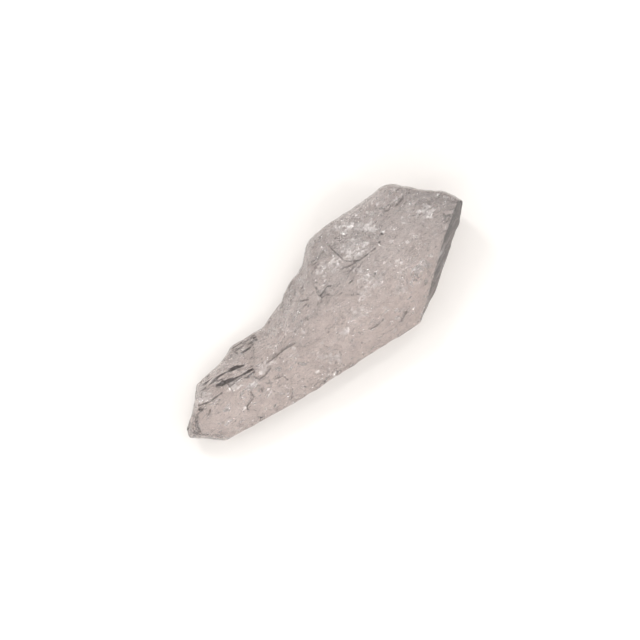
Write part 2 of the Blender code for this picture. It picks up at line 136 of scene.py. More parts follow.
class Sketch:
    """Adds nodes to one tree of shader or geometry nodes."""

    def __init__(self, tree: bpy.types.NodeTree) -> None:
        """Start on a tree."""
        self.tree = tree

    def node(
        self,
        kind: str,
        settings: dict[str, Any] | None = None,
        values: dict[str | int, Any] | None = None,
        output: str | int = 0,
    ) -> Wire:
        """Add a node.

        Args:
            kind: The node's type.
            settings: Its own settings, which are made before its sockets are filled.
            values: What each socket holds or is linked to, by the socket's name or place.
            output: Name or place of the output to hand back.

        Returns:
            The chosen output.
        """
        made = self.tree.nodes.new(kind)
        for name, value in (settings or {}).items():
            setattr(made, name, value)
        for key, value in (values or {}).items():
            self.feed(made.inputs[key], value)
        return Wire(self, made.outputs[output])

    def feed(self, socket: bpy.types.NodeSocket, value: Any) -> None:
        """Link a wire to a socket, or set the socket's own value."""
        if isinstance(value, Wire):
            self.tree.links.new(value.socket, socket)
        else:
            socket.default_value = value

    def maths(self, operation: str, *values: Wire | float) -> Wire:
        """Add a Math node on one to three values."""
        return self.node("ShaderNodeMath", {"operation": operation}, dict(enumerate(values)))

    def vector(self, operation: str, *values: Any, output: int = 0) -> Wire:
        """Add a Vector Math node.

        Args:
            operation: What the node works out.
            values: Vectors, or wires that carry them, in the order of its sockets.
            output: Place of the output: 0 is a vector and 1 a number.

        Returns:
            The node's result.
        """
        settings = {"operation": operation}
        return self.node("ShaderNodeVectorMath", settings, dict(enumerate(values)), output)

    def scaled(self, vector: Wire, factor: Wire | float) -> Wire:
        """A vector times a number."""
        return self.vector("SCALE", vector, (0, 0, 0), (0, 0, 0), factor)

    def stretch(self, vector: Wire, along: float, across: float, up: float, turn: float = 0.0) -> Wire:
        """Scale a vector's parts after a turn in plan.

        Args:
            vector: The vector.
            along: Scale along X.
            across: Scale along Y.
            up: Scale along Z.
            turn: Turn about Z before the scaling, in degrees.

        Returns:
            The turned and scaled vector.
        """
        if turn:
            vector = self.node(
                "ShaderNodeVectorRotate", {"rotation_type": "Z_AXIS"},
                {"Vector": vector, "Angle": math.radians(turn)},
            )
        return self.vector("MULTIPLY", vector, (along, across, up))

    def parts(self, vector: Wire) -> tuple[Wire, Wire, Wire]:
        """The X, Y and Z of a vector."""
        split = self.node("ShaderNodeSeparateXYZ", values={0: vector}).socket.node
        return tuple(Wire(self, socket) for socket in split.outputs)

    def noise(self, vector: Wire, scale: float, seed: float, detail: float = 2.0) -> Wire:
        """Cloudy noise from 0 to 1.

        Args:
            vector: Where it is read.
            scale: How close its lumps stand.
            seed: Picks one noise out of many.
            detail: How many finer layers it has.

        Returns:
            The noise.
        """
        return self.node(
            "ShaderNodeTexNoise", {"noise_dimensions": "4D"},
            {"Vector": vector, "W": seed, "Scale": scale, "Detail": detail, "Roughness": 0.55},
        )

    def stray(self, vector: Wire, scale: float, seed: float, reach: float) -> Wire:
        """A vector moved to and fro, so that a pattern read there is warped.

        Args:
            vector: The vector.
            scale: How close the bends stand.
            seed: Picks the noise.
            reach: How far it may be moved.

        Returns:
            The moved vector.
        """
        bend = self.node(
            "ShaderNodeTexNoise", {"noise_dimensions": "4D"},
            {"Vector": vector, "W": seed, "Scale": scale, "Detail": 1.0}, output=1,
        )
        bend = self.vector("SUBTRACT", bend, (0.5, 0.5, 0.5))
        return self.vector("MULTIPLY_ADD", bend, (reach,) * 3, vector)

    def shells(self, vector: Wire, scale: float, seed: float) -> Wire:
        """Distance to the nearest cell's middle: hollow shells with sharp ridges between them."""
        return self.node(
            "ShaderNodeTexVoronoi", {"voronoi_dimensions": "4D", "feature": "F1"},
            {"Vector": vector, "W": seed, "Scale": scale},
        )

    def facets(self, vector: Wire, scale: float, seed: float) -> Wire:
        """Height of small flat facets that each tilt their own way.

        Args:
            vector: Where it is read.
            scale: How close the facets stand.
            seed: Picks one set of facets out of many.

        Returns:
            The height over each facet's middle.
        """
        shifted = self.vector("ADD", vector, (seed,) * 3)
        cells = self.node("ShaderNodeTexVoronoi", {"feature": "F1"}, {"Vector": shifted, "Scale": scale})
        outputs = cells.socket.node.outputs
        tilt = self.vector("SUBTRACT", Wire(self, outputs["Color"]), (0.5, 0.5, 0.5))
        arm = self.vector("SUBTRACT", shifted, Wire(self, outputs["Position"]))
        return self.vector("DOT_PRODUCT", arm, tilt, output=1)

    def colour(self, share: Wire | float, first: Any, second: Any) -> Wire:
        """Blend of two colours.

        Args:
            share: How much of the second colour there is.
            first: The colour at a share of 0.
            second: The colour at a share of 1.

        Returns:
            The blend.
        """
        ends = [(*c, 1.0) if isinstance(c, tuple) else c for c in (first, second)]
        return self.node(
            "ShaderNodeMix", {"data_type": "RGBA"}, {0: share, 6: ends[0], 7: ends[1]}, output=2,
        )


class Recipe(Sketch):
    """A tree of geometry nodes with named inputs, which is run once on an object."""

    def __init__(self, name: str) -> None:
        """Make the tree with its way in and out."""
        super().__init__(bpy.data.node_groups.new(name, "GeometryNodeTree"))
        self.values: dict[str, Any] = {}
        self.way_in = self.tree.nodes.new("NodeGroupInput")
        self.way_out = self.tree.nodes.new("NodeGroupOutput")
        self.tree.interface.new_socket("Geometry", in_out="OUTPUT", socket_type="NodeSocketGeometry")
        self.geometry = self.take("Geometry", "NodeSocketGeometry", None)

    def take(self, name: str, kind: str, value: Any) -> Wire:
        """Add a named input.

        Args:
            name: The input's name.
            kind: The type of its socket.
            value: What the input gets when the recipe is run, or None to leave it.

        Returns:
            The input, for use in the tree.
        """
        socket = self.tree.interface.new_socket(name, in_out="INPUT", socket_type=kind)
        if value is not None:
            self.values[socket.identifier] = value
        return Wire(self, self.way_in.outputs[name])

    def size(self, name: str, value: float) -> Wire:
        """Add a named input for a size or another number."""
        return self.take(name, "NodeSocketFloat", float(value))

    def guide(self, name: str, obj: bpy.types.Object) -> Wire:
        """Add a named input for an object, and hand back that object's geometry."""
        guide = self.take(name, "NodeSocketObject", obj)
        return self.node("GeometryNodeObjectInfo", values={"Object": guide}, output="Geometry")

    def near(self, lines: Wire, place: Wire) -> Wire:
        """Distance from a place to the nearest of the guide's lines."""
        return self.node(
            "GeometryNodeProximity", {"target_element": "EDGES"},
            {0: lines, "Source Position": place}, output="Distance",
        )

    def read(self, name: str) -> Wire:
        """A number that was stored under a name."""
        return self.node("GeometryNodeInputNamedAttribute", {"data_type": "FLOAT"}, {"Name": name})

    def scatter(self, kind: str, low: Any, high: Any, seed: int) -> Wire:
        """A number or vector that is random for each point.

        Args:
            kind: The node's data type.
            low: Lower end.
            high: Upper end.
            seed: Picks one row of random values out of many.

        Returns:
            The random value.
        """
        random = self.node("FunctionNodeRandomValue", {"data_type": kind}).socket.node
        enabled = [socket for socket in random.inputs if socket.enabled]
        for name, value in (("Min", low), ("Max", high), ("Seed", seed)):
            next(socket for socket in enabled if socket.name == name).default_value = value
        return Wire(self, next(socket for socket in random.outputs if socket.enabled))

    def keep(self, geometry: Wire, name: str, value: Wire) -> Wire:
        """Store a number at each point of the mesh under a name."""
        return self.node(
            "GeometryNodeStoreNamedAttribute", {"data_type": "FLOAT", "domain": "POINT"},
            {"Geometry": geometry, "Name": name, "Value": value},
        )

    def run(self, geometry: Wire, material: bpy.types.Material, obj: bpy.types.Object) -> None:
        """Finish the tree and turn the object into its plain result.

        Args:
            geometry: What the tree has made.
            material: The finish that it gets.
            obj: The object that the tree works on.
        """
        real = self.node("GeometryNodeRealizeInstances", values={0: geometry})
        dressed = self.node("GeometryNodeSetMaterial", values={"Geometry": real, "Material": material})
        self.feed(self.way_out.inputs[0], dressed)
        modifier = obj.modifiers.new(self.tree.name, "NODES")
        modifier.node_group = self.tree
        for identifier, value in self.values.items():
            modifier[identifier] = value
        obj.update_tag()
        depsgraph = bpy.context.evaluated_depsgraph_get()
        made = bpy.data.meshes.new_from_object(obj.evaluated_get(depsgraph))
        obj.modifiers.remove(modifier)
        obj.data = made


def new_object(name: str, mesh: bpy.types.Mesh) -> bpy.types.Object:
    """Put a mesh in a new object of the scene."""
    obj = bpy.data.objects.new(name, mesh)
    bpy.context.scene.collection.objects.link(obj)
    return obj


def guide_lines(name: str, lines: tuple[tuple[Point, ...], ...]) -> bpy.types.Object:
    """Draw lines in plan, at height 0, for a recipe to measure from.

    Args:
        name: Name of the guide.
        lines: Each line's points.

    Returns:
        The guide, which is removed once the recipe has run.
    """
    wire = bmesh.new()
    for line in lines:
        verts = [wire.verts.new((x * MM, y * MM, 0.0)) for x, y in line]
        for first, second in zip(verts, verts[1:]):
            wire.edges.new((first, second))
    mesh = bpy.data.meshes.new(name)
    wire.to_mesh(mesh)
    wire.free()
    return new_object(name, mesh)


@dataclass(frozen=True)
class Morganite:
    """Finish of the stone: clear pinkish-grey beryl, duller where it is broken, with painted shade for its
    dark streaks and the head's strip.
    """

    body: Colour = (0.97, 0.90, 0.875)
    cool: Colour = (0.90, 0.875, 0.87)
    dim: Colour = (0.66, 0.61, 0.61)
    bright: Colour = (1.0, 0.99, 0.98)
    # Painted shade: near-black for the streaks and the head's strip, which look dark because they see dark
    # surroundings, not because of their own colour
    painted_shade: Colour = (0.012, 0.009, 0.010)
    depth_colour: Colour = (0.80, 0.68, 0.66)
    depth_density: float = 15.0
    ior: float = 1.58
    clear: float = 0.95
    smooth_roughness: float = 0.05
    broken_roughness: float = 0.10
    facet_tilt: float = 0.45

    def make(self) -> bpy.types.Material:
        """Build the material.

        Returns:
            A live glass shader with plain absorption inside it.
        """
        material = bpy.data.materials.new("morganite")
        material.use_nodes = True
        sketch = Sketch(material.node_tree)
        shader = material.node_tree.nodes["Principled BSDF"]
        place = self._place(sketch)
        sketch.feed(shader.inputs["Base Color"], self._colour(sketch, place))
        sketch.feed(shader.inputs["Roughness"], self._roughness(sketch, place))
        sketch.feed(shader.inputs["Normal"], self._normal(sketch, place))
        shader.inputs["IOR"].default_value = self.ior
        shader.inputs["Transmission Weight"].default_value = self.clear
        depth = sketch.node(
            "ShaderNodeVolumeAbsorption",
            values={"Color": (*self.depth_colour, 1.0), "Density": self.depth_density},
        )
        sketch.feed(material.node_tree.nodes["Material Output"].inputs["Volume"], depth)
        return material

    def _place(self, sketch: Sketch) -> Wire:
        """Object coordinates, in millimetres."""
        coordinates = sketch.node("ShaderNodeTexCoord", output="Object")
        return sketch.scaled(coordinates, 1.0 / MM)

    def _kept(self, sketch: Sketch, name: str) -> Wire:
        """A number that the surface's recipe stored."""
        return sketch.node("ShaderNodeAttribute", {"attribute_name": name}, output="Fac")

    def _colour(self, sketch: Sketch, place: Wire) -> Wire:
        """Body colour with cooler broken parts, and painted shade for the dark streaks and the head's
        strip.
        """
        _, across, _ = sketch.parts(place)
        broken = self._kept(sketch, "broken")
        drawn = sketch.stretch(place, 0.55, 1.0, 1.0, -8.0)
        clouds = sketch.noise(drawn, 0.55, 3.0)
        cool = across.between(-5.0, 3.5) * 0.7 + (clouds - 0.5) * 1.2
        body = sketch.colour(cool.between(0.0, 1.0), self.body, self.cool)
        mottle = sketch.noise(sketch.stray(drawn, 1.2, 4.0, 0.8), 2.2, 11.0, 4.0)
        body = sketch.colour(mottle.between(0.52, 0.30) * (0.25 + broken * 0.75), body, self.dim)
        body = sketch.colour(mottle.between(0.56, 0.72) * broken, body, self.bright)
        # The dark marks are painted shade laid over the body colour
        return sketch.colour(self._painted_shade_share(sketch, place), body, self.painted_shade)

    def _painted_shade_share(self, sketch: Sketch, place: Wire) -> Wire:
        """How much painted shade the colour takes: along the cracks, in dashes along the stone, in the
        fluted bands and on the head's strip.
        """
        wander = sketch.noise(place, 2.6, 31.0) - 0.5
        # Painted shade along the cracks' grooves
        crack = (self._kept(sketch, "crack_reach") + wander * 0.16).between(0.11, 0.03) * 0.85
        # Short dashes of painted shade
        spots = sketch.noise(sketch.stretch(place, 0.75, 2.6, 2.6, -12.0), 1.0, 21.0, 1.0)
        dashes = spots.between(0.60, 0.67) * self._kept(sketch, "dashed")
        # Painted shade in the flutes of the bands
        swept = sketch.stray(sketch.stretch(place, 0.28, 3.4, 1.2, 2.0), 0.7, 22.0, 0.5)
        flutes = sketch.noise(swept, 1.0, 23.0, 2.0)
        band = self._kept(sketch, "band").between(0.25, 0.75) * flutes.between(0.52, 0.44)
        # The head's strip is painted near-black: painted shade for a steep face that would see dark
        # surroundings
        lines = sketch.noise(sketch.stretch(place, 0.22, 0.22, 3.2), 1.0, 25.0, 2.0)
        strip = self._kept(sketch, "front") * (0.80 + 0.2 * lines.between(0.6, 0.4))
        return crack.most(dashes).most(band).most(strip).least(0.97)

    def _roughness(self, sketch: Sketch, place: Wire) -> Wire:
        """Smooth on the prism faces and matt where it is broken."""
        broken = self._kept(sketch, "broken")
        mottle = sketch.noise(place, 1.1, 8.0) - 0.5
        rise = self.broken_roughness - self.smooth_roughness + mottle * 0.15
        return self.smooth_roughness + broken * rise

    def _normal(self, sketch: Sketch, place: Wire) -> Wire:
        """Grain too fine for the mesh: small tilted facets and hackle."""
        broken = self._kept(sketch, "broken")
        drawn = sketch.stray(sketch.stretch(place, 0.6, 1.0, 1.0, -8.0), 1.5, 41.0, 0.4)
        large = sketch.facets(drawn, 1.6, 5.0) * self.facet_tilt
        small = sketch.facets(drawn, 4.0, 9.0) * self.facet_tilt
        lines = sketch.noise(sketch.stretch(place, 0.2, 3.5, 3.5), 3.0, 6.0)
        height = (large + small) * (0.08 + broken * 0.92) + lines * 0.004
        return sketch.node(
            "ShaderNodeBump", values={"Strength": 1.0, "Distance": MM, "Height": height},
            output="Normal",
        )


@dataclass(frozen=True)
class Feather:
    """Finish of the thin healed cracks inside the stone, which shine back silvery white."""

    colour: Colour = (0.99, 0.975, 0.97)
    roughness: float = 0.28

    def make(self) -> bpy.types.Material:
        """Build the material."""
        material = bpy.data.materials.new("feather")
        material.use_nodes = True
        shader = material.node_tree.nodes["Principled BSDF"]
        shader.inputs["Base Color"].default_value = (*self.colour, 1.0)
        shader.inputs["Roughness"].default_value = self.roughness
        shader.inputs["Metallic"].default_value = 1.0
        return material


class Zone(Enum):
    """Flat faces of the stone: the way each one faces, and how nearly a point has to face that way."""

    WALL = ((0.0297, -0.9996, 0.0), (0.985, 0.996))
    SHOULDER = ((0.0148, -0.4998, 0.8660), (0.985, 0.996))
    TAIL_FACE = ((-0.0805, -0.3675, 0.9265), (0.985, 0.996))
    REST = ((0.0, 0.0, -1.0), (0.97, 0.99))
    # The head's steep strip, which the finish paints near-black as painted shade
    HEAD_STRIP = ((0.503, -0.735, 0.455), (0.94, 0.975))

    def share(self, recipe: Recipe, normal: Wire) -> Wire:
        """How far a point that faces along the normal belongs to this face."""
        way, ends = self.value
        return recipe.vector("DOT_PRODUCT", normal, way, output=1).between(*ends)


@dataclass(frozen=True)
class Marks:
    """Where the stone is marked, as lines in plan in millimetres."""

    # Fluted bands on the tail, whose flutes get painted shade
    bands: tuple[tuple[Point, ...], ...] = (
        ((-14.2, -0.85), (-12.5, -0.75), (-10.7, -0.9), (-9.7, -1.4), (-9.0, -2.0)),
        ((-12.3, -1.4), (-10.7, -1.6), (-9.6, -2.1)),
        ((-9.0, 0.8), (-8.0, 0.7), (-7.2, 0.6)),
        ((-8.7, 0.35), (-7.6, -0.05)),
    )
    # Parts with short dashes of painted shade
    dashed: tuple[tuple[Point, ...], ...] = (
        ((-1.2, 2.9), (-0.5, 2.1), (-0.7, 1.4)),
        ((-1.3, 1.3), (1.4, 0.55)),
        ((1.1, 1.6), (3.6, 1.0)),
        ((2.0, 0.6), (4.4, 0.05)),
        ((14.2, 3.0), (15.6, 2.9)),
        ((7.8, 2.1), (9.0, 2.9)),
    )
    # Thin cracks, grooved in the relief and darkened with painted shade
    cracks: tuple[tuple[Point, ...], ...] = (
        ((12.92, 4.86), (12.19, 4.63), (11.3, 4.5), (10.58, 4.64)),
        ((4.62, 2.54), (5.19, 2.15), (5.93, 1.81), (6.62, 1.85), (7.95, 2.01)),
        ((5.93, 1.81), (4.85, 1.82), (3.89, 1.99)),
        ((4.05, 4.71), (4.59, 2.7)),
        ((3.36, -4.66), (4.26, -4.65), (5.05, -4.45)),
        ((6.38, -5.59), (7.43, -4.99)),
        ((0.81, 0.56), (1.48, 0.55)),
        ((-1.19, 0.76), (-0.71, 0.81)),
        ((-0.61, 2.09), (-0.31, 2.13)),
        ((-1.51, 1.52), (-0.43, 1.09)),
        ((3.48, -0.76), (4.18, -1.08)),
        ((-7.22, -2.21), (-6.14, -2.08), (-4.92, -1.92), (-3.83, -1.96)),
        ((-9.06, -2.66), (-8.73, -3.22), (-8.16, -3.21), (-7.14, -2.81)),
        ((-15.39, -1.86), (-15.24, -2.34), (-14.03, -2.57), (-12.6, -2.42)),
        ((-15.86, -2.64), (-15.43, -2.67), (-14.84, -2.98)),
        ((-10.1, -3.82), (-10.13, -4.47), (-11.17, -4.86), (-11.28, -5.23)),
        ((-9.0, -4.04), (-9.11, -4.44)),
        ((-14.48, -3.31), (-15.0, -3.66)),
        ((-11.64, -1.94), (-11.63, -2.29), (-11.04, -2.25)),
        ((-10.78, -2.18), (-10.17, -2.1), (-9.66, -2.36)),
        ((-8.3, -0.94), (-7.98, -0.97)),
        ((-9.55, 0.6), (-9.25, 0.08)),
        ((-7.3, -4.0), (-6.47, -4.11), (-6.35, -4.74)),
    )
    # Bright edges of chips and inner cracks
    threads: tuple[tuple[Point, ...], ...] = (
        ((13.52, 3.02), (12.79, 3.19), (12.15, 3.25), (11.63, 3.32)),
        ((13.4, 2.76), (12.78, 2.4)),
        ((12.74, 1.73), (12.0, 1.66), (11.39, 1.76)),
        ((14.48, 1.77), (13.99, 1.4)),
        ((10.34, 4.91), (10.63, 4.83)),
        ((4.89, 2.58), (5.79, 2.5), (6.81, 2.38)),
        ((4.25, 4.71), (4.5, 3.71), (4.75, 2.68)),
        ((6.45, 1.95), (7.97, 2.22), (8.42, 2.35)),
        ((0.91, 3.85), (1.38, 3.61), (2.04, 3.49)),
        ((10.22, -0.08), (10.69, -0.07), (11.05, -0.47), (11.16, -0.85)),
        ((11.16, -0.85), (10.74, -1.2), (9.97, -1.27), (9.53, -1.21)),
        ((9.43, -0.94), (9.65, -1.35)),
        ((0.79, -2.44), (0.64, -3.24), (0.89, -3.75), (1.32, -3.6)),
        ((2.41, -2.63), (2.91, -2.82), (3.6, -2.79), (3.97, -3.13)),
        ((3.79, -3.58), (4.0, -4.15)),
        ((-2.81, -3.96), (-2.49, -4.37), (-1.86, -4.44), (-1.27, -5.11), (-1.19, -5.72), (-0.92, -6.1)),
        ((0.27, -0.34), (0.59, -0.09)),
        ((-2.73, 0.8), (-2.09, 0.75)),
        ((-10.71, -2.9), (-10.92, -3.44), (-11.11, -4.02)),
        ((-8.25, -4.94), (-8.42, -5.53)),
        ((-12.25, -2.58), (-11.78, -2.36)),
        ((-6.69, -1.69), (-6.18, -1.4)),
        ((-12.18, -3.91), (-11.83, -4.85), (-11.88, -5.76)),
        ((-13.9, -0.86), (-13.09, -0.45)),
        ((-11.5, -0.97), (-10.39, -0.97)),
        ((-8.35, -1.86), (-9.15, -2.72)),
    )
    # Silvery patches of inner cracks
    patches: tuple[tuple[Point, ...], ...] = (
        ((5.6, 3.5), (6.3, 3.3), (6.9, 2.7)),
        ((5.5, 2.8), (6.5, 2.65)),
        ((5.4, 0.95), (5.45, 0.15)),
        ((2.2, 3.2), (3.3, 2.75), (4.1, 2.9)),
        ((5.7, 5.6), (6.9, 5.1)),
        ((8.1, 4.5), (8.6, 4.1)),
        ((13.8, 2.6), (14.3, 2.4)),
        ((4.55, -1.35), (5.8, -1.05), (6.55, -0.7)),
        ((7.6, -2.95), (8.2, -3.05)),
        ((1.0, -3.0), (1.1, -3.6)),
        ((2.9, -2.8), (3.7, -2.95)),
        ((-2.0, -4.45), (-1.15, -5.4)),
        ((-14.9, -1.6), (-14.3, -2.0)),
        ((-8.1, -2.75), (-7.7, -2.7)),
        ((-11.25, -2.4), (-10.9, -2.45)),
    )


@dataclass
class Crystal:
    """The stone itself, over the solid node of the same name."""

    name: str = "morganite_stone"
    cell: float = 0.118
    chip_depth: float = 0.16
    flake_depth: float = 0.10
    hackle_depth: float = 0.14
    # Share of the relief that the stone's sides get
    side_share: float = 0.4
    line_depth: float = 0.012
    band_depth: float = 0.16
    crack_depth: float = 0.12
    front_depth: float = 0.05
    rest_depth: float = 0.9
    band_reach: float = 0.75
    dashed_reach: float = 0.9
    patch_reach: float = 0.75
    marks: Marks = field(default_factory=Marks)

    def build(self) -> bpy.types.Object:
        """Make the stone's surface from the solid's own.

        Returns:
            The finished piece.
        """
        body = self._skin()
        guides = {
            name: guide_lines(name, getattr(self.marks, name))
            for name in ("bands", "dashed", "cracks", "patches")
        }
        self._relief(body, guides)
        for guide in guides.values():
            bpy.data.objects.remove(guide)
        body.data.polygons.foreach_set("use_smooth", [True] * len(body.data.polygons))
        return body

    def _skin(self) -> bpy.types.Object:
        """Copy the solid's mesh, merge its points and give it an even, fine net."""
        mesh = bpy.data.objects["crystal"].data.copy()
        solid = bmesh.new()
        solid.from_mesh(mesh)
        bmesh.ops.remove_doubles(solid, verts=solid.verts[:], dist=0.001 * MM)
        solid.to_mesh(mesh)
        solid.free()
        body = new_object(self.name, mesh)
        net = body.modifiers.new("net", "REMESH")
        net.mode = "VOXEL"
        net.voxel_size = self.cell * MM
        settle = body.modifiers.new("settle", "SMOOTH")
        settle.factor = 0.5
        settle.iterations = 1
        depsgraph = bpy.context.evaluated_depsgraph_get()
        even = bpy.data.meshes.new_from_object(body.evaluated_get(depsgraph))
        body.modifiers.clear()
        body.data = even
        return body

    def _relief(self, body: bpy.types.Object, guides: dict[str, bpy.types.Object]) -> None:
        """Break up the surface, and store what the finish needs to know of it."""
        recipe = Recipe("broken_surface")
        lines = {name: recipe.guide(name, guide) for name, guide in guides.items()}
        where = recipe.node("GeometryNodeInputPosition")
        normal = recipe.node("GeometryNodeInputNormal")
        place = recipe.scaled(where, 1.0 / MM)
        _, _, facing_up = recipe.parts(normal)
        upward = facing_up.between(0.15, 0.5)
        rest = Zone.REST.share(recipe, normal)
        grown = Zone.WALL.share(recipe, normal).most(Zone.SHOULDER.share(recipe, normal))
        grown = grown.most(Zone.TAIL_FACE.share(recipe, normal))
        front = Zone.HEAD_STRIP.share(recipe, normal)
        # front also carries the head strip's painted shade to the finish
        stored = {"broken": 1.0 - grown.most(front), "front": front}
        stored |= self._marked(recipe, lines, where, place, upward)
        stored["upward"] = upward
        height = self._height(recipe, place, facing_up, rest, grown, stored)
        pushed = recipe.vector("ADD", where, recipe.scaled(normal, height * MM))
        # Nothing reaches below the plane that the stone rests on
        moved = recipe.vector("MAXIMUM", pushed, (-1.0, -1.0, 0.0))
        kept = recipe.node(
            "GeometryNodeSetPosition", values={"Geometry": recipe.geometry, "Position": moved},
        )
        for name, value in stored.items():
            kept = recipe.keep(kept, name, value)
        recipe.run(kept, Morganite().make(), body)

    def _marked(
        self, recipe: Recipe, lines: dict[str, Wire], where: Wire, place: Wire, upward: Wire,
    ) -> dict[str, Wire]:
        """Measure how near each point of the top is to the marks.

        Args:
            recipe: The surface's recipe.
            lines: The marks' lines by name.
            where: The point's place in metres.
            place: The point's place in millimetres.
            upward: 1 where the surface faces up.

        Returns:
            A number from 0 to 1 for each kind of mark, and the distance to the cracks.
        """
        plan = recipe.vector("MULTIPLY", where, (1.0, 1.0, 0.0))
        strayed = recipe.vector("MULTIPLY", recipe.stray(place, 1.4, 2.0, 0.7), (MM, MM, 0.0))
        kinds = (
            ("band", "bands", self.band_reach),
            ("dashed", "dashed", self.dashed_reach),
            ("patch", "patches", self.patch_reach),
        )
        found = {}
        for kind, guide, reach in kinds:
            near = recipe.near(lines[guide], strayed).between(reach * MM, 0.25 * reach * MM)
            found[kind] = near * upward
        found["crack_reach"] = recipe.near(lines["cracks"], plan) / MM + (1.0 - upward) * FAR
        return found

    def _height(
        self, recipe: Recipe, place: Wire, facing_up: Wire, rest: Wire, grown: Wire,
        stored: dict[str, Wire],
    ) -> Wire:
        """Work out the relief: shells and hackle on fractures, fine lines on the prism faces.

        Args:
            recipe: The surface's recipe.
            place: The point's place in millimetres.
            facing_up: Upward part of the point's normal.
            rest: 1 on the face that the stone rests on.
            grown: 1 on the prism faces.
            stored: The other parts and marks by name.

        Returns:
            The height in millimetres.
        """
        chip = recipe.size("Chip depth", self.chip_depth)
        flake = recipe.size("Flake depth", self.flake_depth)
        hackle = recipe.size("Hackle depth", self.hackle_depth)
        side_share = recipe.size("Side share", self.side_share)
        line = recipe.size("Line depth", self.line_depth)
        band_depth = recipe.size("Band depth", self.band_depth)
        crack_depth = recipe.size("Crack depth", self.crack_depth)
        front_depth = recipe.size("Front depth", self.front_depth)
        rest_depth = recipe.size("Rest depth", self.rest_depth)
        seed = recipe.size("Seed", 4.0)
        side = side_share + abs(facing_up).between(0.45, 0.8) * (1.0 - side_share)
        crack = stored["crack_reach"].between(0.20, 0.03)
        band, front = stored["band"], stored["front"]

        drawn = recipe.stray(recipe.stretch(place, 0.5, 1.0, 1.0, -8.0), 0.8, 1.0, 0.5)
        big = recipe.shells(drawn, 0.8, seed) ** 2.0
        small = recipe.shells(drawn, 2.0, seed + 3.0) ** 2.0
        rough = recipe.noise(recipe.stretch(place, 0.5, 1.0, 1.0), 1.8, seed + 5.0, 3.0) - 0.5
        fracture = (big - 0.25) * chip * 2.0 + (small - 0.25) * flake * 2.0 + rough * hackle

        flutes = recipe.noise(recipe.stretch(place, 0.45, 4.2, 1.6, -12.0), 1.0, seed + 7.0, 2.0)
        long_lines = recipe.noise(recipe.stretch(place, 0.1, 3.0, 3.0), 1.0, seed + 9.0, 2.0) - 0.5
        slanted = recipe.stretch(place, 0.2, 0.6, 2.6, -40.0)
        front_lines = recipe.noise(slanted, 1.0, seed + 11.0, 2.0) - 0.5
        hollows = (0.30 - recipe.shells(drawn, 0.6, seed + 13.0) ** 2.0).most(0.0)
        pits = hollows + (rough * 0.4).most(0.0) + (small - 0.15).most(0.0) * 0.4

        height = stored["broken"] * (1.0 - band) * (1.0 - rest) * side * fracture
        height = height + grown * long_lines * line * 2.0
        height = height + band * (flutes - 0.55) * band_depth * 2.0
        height = height - crack * crack_depth
        height = height + front * front_lines * front_depth * 2.0
        return height - rest * pits * rest_depth


@dataclass
class Flakes:
    """Thin bright flakes just under the broken top: crowded in the silvery patches, few elsewhere."""

    name: str = "inner_flakes"
    length: float = 0.17
    width_share: float = 0.45
    thickness_share: float = 0.10
    depth: float = 0.42
    patch_density: float = 26.0
    loose_density: float = 3.2

    def build(self, stone: bpy.types.Object) -> bpy.types.Object:
        """Scatter the flakes.

        Args:
            stone: The finished stone, whose surface they follow.

        Returns:
            The finished piece.
        """
        flakes = new_object(self.name, bpy.data.meshes.new(self.name))
        recipe = Recipe("scattered_flakes")
        length = recipe.size("Length", self.length * MM)
        width = recipe.size("Width share", self.width_share)
        thickness = recipe.size("Thickness share", self.thickness_share)
        depth = recipe.size("Depth", self.depth * MM)
        patch_density = recipe.size("Patch density", self.patch_density / MM**2)
        loose_density = recipe.size("Loose density", self.loose_density / MM**2)
        surface = recipe.guide("Stone", stone)
        where = recipe.node("GeometryNodeInputPosition")
        place = recipe.scaled(where, 1.0 / MM)
        clumps = recipe.noise(recipe.stretch(place, 0.6, 1.0, 1.0), 0.8, 3.0, 2.0).between(0.42, 0.62)
        patch = recipe.read("patch")
        loose = recipe.read("broken") * recipe.read("upward") * clumps * loose_density
        density = patch * patch_density + loose
        spots = recipe.node(
            "GeometryNodeDistributePointsOnFaces", values={"Mesh": surface, "Density": density, "Seed": 5},
        )
        normal = Wire(recipe, spots.socket.node.outputs["Normal"])
        jitter = recipe.scatter("FLOAT_VECTOR", (-1.0, -1.0, -1.0), (1.0, 1.0, 1.0), 7)
        axis = recipe.vector("MULTIPLY_ADD", jitter, (0.32, 0.32, 0.32), normal)
        sink = recipe.scaled(normal, recipe.scatter("FLOAT", 0.8, 1.6, 9) * depth * -1.0)
        sunk = recipe.node("GeometryNodeSetPosition", values={"Geometry": spots, "Offset": sink})
        turned = recipe.node(
            "FunctionNodeAxisAngleToRotation",
            values={0: (0.0, 0.0, 1.0), 1: recipe.scatter("FLOAT", -0.7, 0.9, 11)},
        )
        upright = recipe.node(
            "FunctionNodeAlignRotationToVector", {"axis": "Z"}, {"Rotation": turned, "Vector": axis},
        )
        sizes = recipe.node(
            "ShaderNodeCombineXYZ",
            values={
                0: length * recipe.scatter("FLOAT", 0.5, 1.7, 13),
                1: length * width * recipe.scatter("FLOAT", 0.5, 1.5, 15),
                2: length * thickness,
            },
        )
        flake = recipe.node("GeometryNodeMeshIcoSphere", values={"Radius": 1.0, "Subdivisions": 1})
        placed = recipe.node(
            "GeometryNodeInstanceOnPoints",
            values={"Points": sunk, "Instance": flake, "Rotation": upright, "Scale": sizes},
        )
        recipe.run(placed, Feather().make(), flakes)
        return flakes


